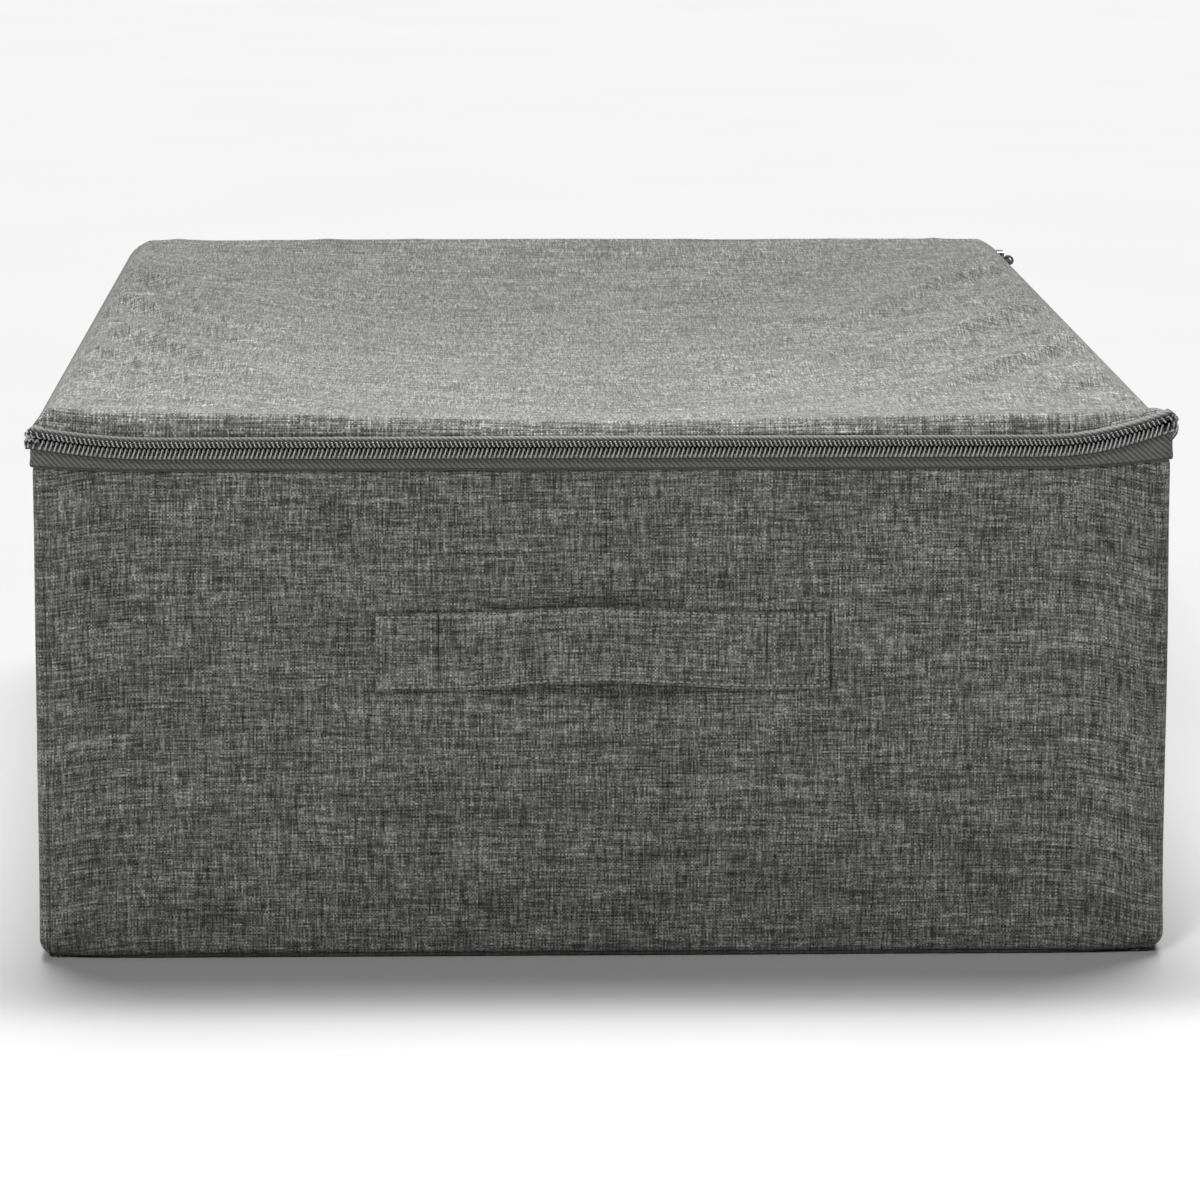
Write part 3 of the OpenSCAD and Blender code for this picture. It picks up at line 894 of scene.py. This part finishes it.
def strap_section(v, half):
    """Half thickness of the folded and stitched strap at a height v from its middle."""
    edge = np.clip(1 - (np.abs(v) / half) ** 24, 0, 1) ** 0.5
    sewn = np.exp(-((np.abs(v) - (half - 1.6 * MM)) / (0.6 * MM)) ** 2)
    return STRAP_HALF_THICK * edge - 0.3 * MM * sewn


def strap_points(x, height, bow, loose, face):
    """Points of the strap at heights from its middle. Loose is 1 where it isn't sewn down, and
    face is -1 on its front layer and 1 on the layer at the wall."""
    half = strap_half(bow)
    out = STRAP_PUSH * bow + strap_crease(x, height, bow)
    bulge = STRAP_BULGE * (1 - (height / half) ** 2)
    y = -HALF_Y - STRAP_MIDDLE + out * loose - bulge + face * strap_section(height, half)
    z = HANDLE_LEVEL + height + 3.0 * MM * bow
    return np.stack(np.broadcast_arrays(x, y, z), -1)


def strap(name, start, end, loose):
    """Length of the handle's strap: a flat tube of cloth, sewn down or loose."""
    x = np.linspace(start, end, max(8, int(abs(end - start) / (1.2 * MM))))[::-1, None]
    bow = strap_bow(x) * loose
    v = np.sin(np.linspace(-1, 1, STRAP_ROWS) * np.pi / 2)
    around = np.concatenate([v, v[::-1][1:-1]])
    face = np.concatenate([-np.ones(STRAP_ROWS), np.ones(STRAP_ROWS - 2)])
    height = around * strap_half(bow)
    points = strap_points(x, height, bow, loose, face)
    length = np.broadcast_to(x, (x.size, around.size + 1))
    wrapped = np.concatenate([height, height[:, :1]], axis=1)
    return grid(name, points, np.stack([length, wrapped], -1), closed=True, caps=True)


def strap_front(x, v):
    """Points on the strap's front face, for the stitches: v is -1 and 1 just inside its edges."""
    bow = strap_bow(x)
    height = v * (strap_half(bow) - 1.5 * MM)
    return strap_points(x, height, bow, np.abs(x) < HANDLE_LOOSE, -1)


def edge_stitches(name, start, end):
    """Rows of stitches along the strap's two long edges, between two positions."""
    x = np.arange(start + 1.2 * MM, end - 0.6 * MM, 2.4 * MM)
    rows = [strap_front(x, v) for v in (-1.0, 1.0)]
    directions = np.concatenate([row_directions(row) for row in rows])
    return stitches(name, np.concatenate(rows), directions, 1.7 * MM)


def row_directions(row):
    ahead = np.gradient(row, axis=0)
    return ahead / np.linalg.norm(ahead, axis=1)[:, None]


def end_stitches(name, columns):
    """Upright rows of stitches that hold a sewn end to the wall."""
    height = np.arange(-11.4, 11.5, 2.3) * MM
    face = -HALF_Y - STRAP_MIDDLE - STRAP_HALF_THICK
    centres = [(x, face - STRAP_BULGE * (1 - (z / STRAP_HALF_WIDE) ** 2), HANDLE_LEVEL + z)
               for x in columns for z in height]
    directions = np.tile([0.0, 0.0, 1.0], (len(centres), 1))
    return stitches(name, np.array(centres), directions, 1.6 * MM)


def handle():
    for side, sign in (("left", -1), ("right", 1)):
        span = sorted((sign * HANDLE_LOOSE, sign * HANDLE_END))
        end = strap(f"handle_{side}_sewn", *span, 0)
        place(end, "box", "outer_fabric", FABRIC, f"handle_{side}_end")
        columns = (sign * (HANDLE_END - 1.8 * MM), sign * (HANDLE_LOOSE + 2.5 * MM))
        place(end_stitches(f"handle_{side}_end_stitches", columns), "box", "outer_fabric", THREAD)
        place(edge_stitches(f"handle_{side}_edge_stitches", *span), "box", "outer_fabric", THREAD)
        loose_half(side, sign)


def loose_half(side, sign):
    """Half of the handle's loose middle, from its sewn end to the box's centre."""
    span = sorted((0.0, sign * (HANDLE_LOOSE - 0.2 * MM)))
    cloth = strap(f"handle_{side}_loose", *span, 1)
    thread = edge_stitches(f"handle_{side}_loose_stitches", *span)
    for piece, material in ((cloth, FABRIC), (thread, THREAD)):
        piece.data.materials.append(material)
        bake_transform(piece)
    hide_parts("handle_strap")


# ---------------------------------------------------------------- base

def base_sleeve():
    """Cloth sleeve of the loose base, open at the front and the rear."""
    low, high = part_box("base_board_cover")
    half_x, half_z = high.x, (high.z - low.z) / 2
    middle = (high.z + low.z) / 2
    reach = half_x - half_z
    arc = np.linspace(-math.pi / 2, math.pi / 2, 9)
    line = np.linspace(-reach, reach, 60)[1:-1]
    x = np.concatenate([reach + half_z * np.cos(arc), line[::-1],
                        -reach - half_z * np.cos(arc), line])
    z = np.concatenate([half_z * np.sin(arc), np.full(58, half_z),
                        -half_z * np.sin(arc), np.full(58, -half_z)])
    y = np.linspace(high.y, low.y, 90)[:, None]
    uneven = 0.25 * MM * bumps(x[None, :], y, 38 * MM, 95) * (z > half_z * 0.9)
    points = np.stack(np.broadcast_arrays(x[None, :], y, middle + z[None, :] + uneven), -1)
    around = np.concatenate([[0], np.cumsum(np.hypot(np.diff(x, append=x[0]),
                                                     np.diff(z, append=z[0])))])
    uv = np.stack(np.meshgrid(y[:, 0], around, indexing="ij"), -1)
    piece = thicken(grid("base_sleeve", points, uv, closed=True), 0.4 * MM)
    place(piece, "base_insert", "lining_fabric", LINING, "base_board_cover")


# ---------------------------------------------------------------- hard parts kept from CAD

def soften(node, width):
    """Rounds the edges of a hard CAD part."""
    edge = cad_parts[node].modifiers.new("edge", "BEVEL")
    edge.width = width
    edge.segments = 3
    edge.angle_limit = math.radians(35)


def paint(node, material):
    node_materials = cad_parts[node].data.materials
    node_materials.clear()
    node_materials.append(material)


def hard_parts():
    for node in ("slider_body", "slider_bridge", "pull_tab"):
        paint(node, METAL)
        soften(node, 0.3 * MM)
    for node in ("zip_bottom_stop", "zip_lower_stop", "zip_upper_stop"):
        paint(node, COIL)
        soften(node, 0.5 * MM)
    for side in ("front", "rear", "left", "right"):
        paint(f"{side}_wall_board", BOARD)
    paint("base_board", BOARD)


# ---------------------------------------------------------------- studio

def camera():
    """Long lens two metres in front of the box, looking nine degrees down."""
    pitch, yaw = math.radians(9.0), math.radians(1.463)
    lens = bpy.data.cameras.new("camera")
    lens.lens = 172.68
    lens.sensor_width = 36.0
    made = bpy.data.objects.new("camera", lens)
    bpy.context.scene.collection.objects.link(made)
    made.location = (-52.15 * MM, -2351.0 * MM, 445.6 * MM)
    forward = Vector((math.sin(yaw) * math.cos(pitch), math.cos(yaw) * math.cos(pitch),
                      -math.sin(pitch)))
    made.rotation_euler = forward.to_track_quat("-Z", "Y").to_euler()
    bpy.context.scene.camera = made


def soft_sun(name, direction, strength, spread):
    """Wide soft light that falls along a direction, equally bright everywhere."""
    lamp = bpy.data.lights.new(name, "SUN")
    lamp.energy = strength
    lamp.angle = math.radians(spread)
    made = bpy.data.objects.new(name, lamp)
    made.rotation_euler = Vector(direction).to_track_quat("-Z", "Y").to_euler()
    bpy.context.scene.collection.objects.link(made)


def soft_panel(name, location, target, size, spread, power):
    """Soft light near the box, brightest where it is aimed."""
    lamp = bpy.data.lights.new(name, "AREA")
    lamp.shape = "RECTANGLE"
    lamp.size, lamp.size_y = size
    lamp.spread = math.radians(spread)
    lamp.energy = power
    made = bpy.data.objects.new(name, lamp)
    made.location = location
    way = Vector(target) - made.location
    made.rotation_euler = way.to_track_quat("-Z", "Y").to_euler()
    bpy.context.scene.collection.objects.link(made)


def studio():
    scene = bpy.context.scene
    scene.view_settings.view_transform = "Standard"
    world = bpy.data.worlds.new("studio")
    scene.world = world
    world.use_nodes = True
    background = world.node_tree.nodes["Background"]
    background.inputs["Color"].default_value = (1.0, 1.0, 1.0, 1.0)
    background.inputs["Strength"].default_value = 0.03
    soft_sun("rear_top", (-0.06, -0.53, -1.0), 5.3, 40)
    soft_sun("front_key", (0.5, 1.1, -1.0), 1.6, 12)
    soft_panel("lid_fill", (-0.05, 0.05, 1.1), (0.0, -0.33, 0.19), (0.5, 0.2), 60, 1.0)
    bpy.ops.mesh.primitive_grid_add(x_subdivisions=2, y_subdivisions=2, size=60.0)
    floor = bpy.context.object
    floor.name = "floor"
    floor.data.materials.append(pale_floor("pale_floor"))


camera()
studio()
wall_covers()
wall_linings()
bottom()
welt()
rim_hem()
lower_tape()
upper_tape()
zip_coils()
hinge_cloth()
lid_cloth()
handle()
base_sleeve()
hard_parts()
